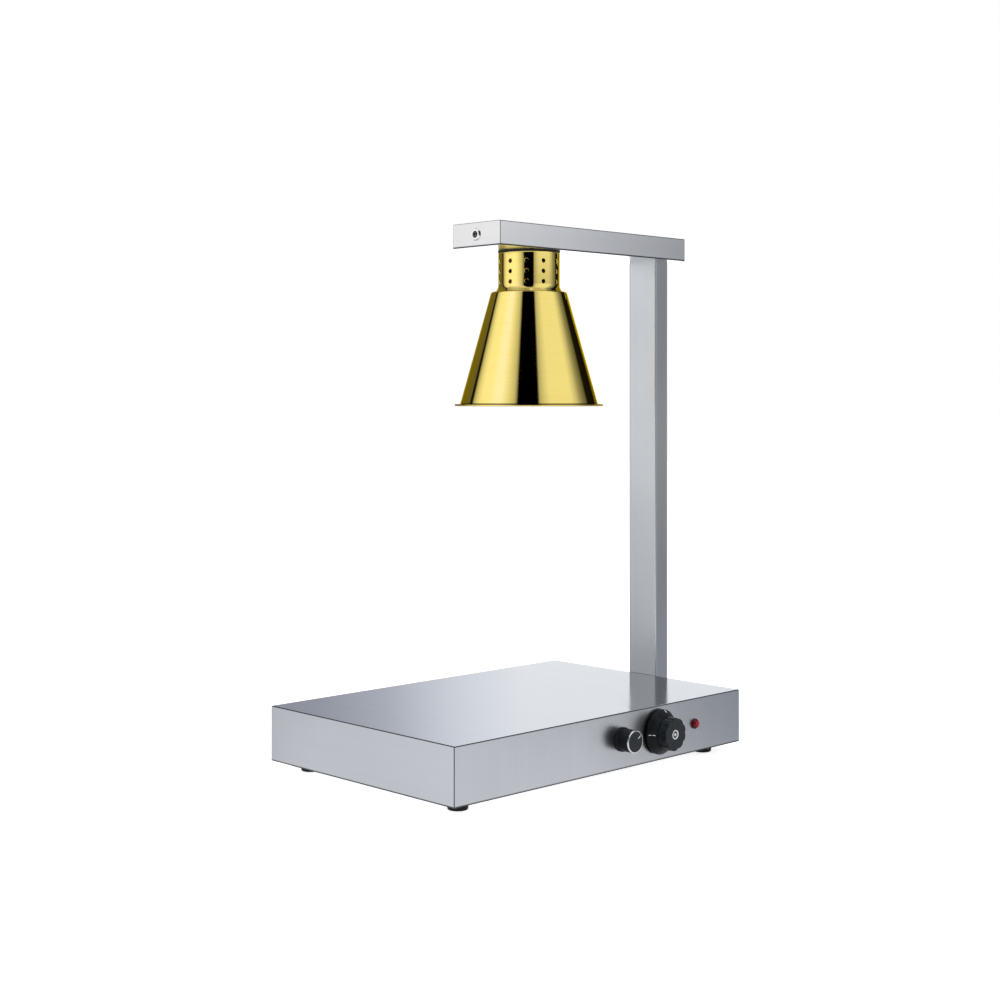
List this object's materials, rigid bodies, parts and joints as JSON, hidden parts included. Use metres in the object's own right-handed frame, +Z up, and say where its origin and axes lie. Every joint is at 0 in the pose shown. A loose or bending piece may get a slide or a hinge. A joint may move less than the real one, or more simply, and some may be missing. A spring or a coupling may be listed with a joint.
{
  "type": "heated carving station",
  "caption": "Low heated steel base with a flat serving top, thermostat and dimmer knobs, an upright column and an arm that holds a brass cone heat lamp over the top.",
  "frame": {"origin": "on the table under the middle of the station's overall box", "axes": "+X along the base towards the column, +Y from the control panel to the rear, +Z up"},
  "size_m": [0.571, 0.4072, 0.711],
  "materials": {
    "stainless": "fine brushed stainless sheet, semi-mirror",
    "brass": "polished spun brass",
    "black_plastic": "moulded black, satin",
    "rubber": "black moulded rubber",
    "chrome": "bright plated",
    "red_lens": "clear red moulding",
    "plated_steel": "zinc plated",
    "element_sheath": "oxidised tube sheath",
    "aluminium": "mill finish",
    "copper_alloy": "plain",
    "ceramic": "white, unglazed",
    "mineral_wool": "felted fibre slab",
    "bulb": "frosted glass",
    "cable_sheath": "heat-resistant sheath"
  },
  "bodies": {
    "station": {"base_cover": "stainless", "bottom_plate": "stainless", "column_tube": "stainless", "arm_tube": "stainless", "arm_end_cap": "stainless", "lamp_collar": "brass", "lamp_shade": "brass", "lamp_mount_ring": "black_plastic", "column_plug": "black_plastic", "thermostat_body": "black_plastic", "dimmer_body": "black_plastic", "indicator_body": "black_plastic", "gland_body": "black_plastic", "gland_dome_nut": "black_plastic", "gland_locknut": "black_plastic", "terminal_block": "black_plastic", "foot_front_left": "rubber", "foot_front_right": "rubber", "foot_rear_left": "rubber", "foot_rear_right": "rubber", "gland_seal": "rubber", "cable_grommet": "rubber", "end_cap_screw": "chrome", "end_cap_washer": "chrome", "indicator_lens": "red_lens", "bottom_plate_screws": "plated_steel", "foot_screws": "plated_steel", "foot_nuts": "plated_steel", "terminal_screws": "plated_steel", "earth_screw": "plated_steel", "heater_nuts": "plated_steel", "element_clamps": "plated_steel", "insulation_tray": "plated_steel", "sensor_clips": "plated_steel", "thermostat_screws": "plated_steel", "dimmer_nut": "plated_steel", "indicator_nut": "plated_steel", "column_backing_plate": "plated_steel", "column_nut_plate": "plated_steel", "column_bolts": "plated_steel", "arm_screws": "plated_steel", "lamp_nipple": "plated_steel", "lamp_nipple_nut": "plated_steel", "heating_element": "element_sheath", "heat_spreader": "aluminium", "bulb_cap": "aluminium", "thermostat_sensor": "copper_alloy", "lampholder_shell": "copper_alloy", "lampholder_body": "ceramic", "element_terminals": "ceramic", "insulation_blanket": "mineral_wool", "bulb_glass": "bulb", "lamp_cable": "cable_sheath", "base_leads": "cable_sheath"},
    "thermostat_dial": {"thermostat_knob": "black_plastic", "thermostat_knob_cap": "chrome", "thermostat_spindle": "plated_steel"},
    "dimmer_dial": {"dimmer_knob": "black_plastic", "dimmer_knob_ring": "chrome", "dimmer_spindle": "plated_steel"}
  },
  "joints": [
    {"name": "thermostat_turn", "type": "hinge", "parent": "station", "child": "thermostat_dial", "pos_m": [0.074, -0.175, 0.0505], "axis": [0, 1, 0], "range_deg": [0, 300]},
    {"name": "dimmer_turn", "type": "hinge", "parent": "station", "child": "dimmer_dial", "pos_m": [0.0035, -0.175, 0.0505], "axis": [0, 1, 0], "range_deg": [-206, 94]}
  ]
}
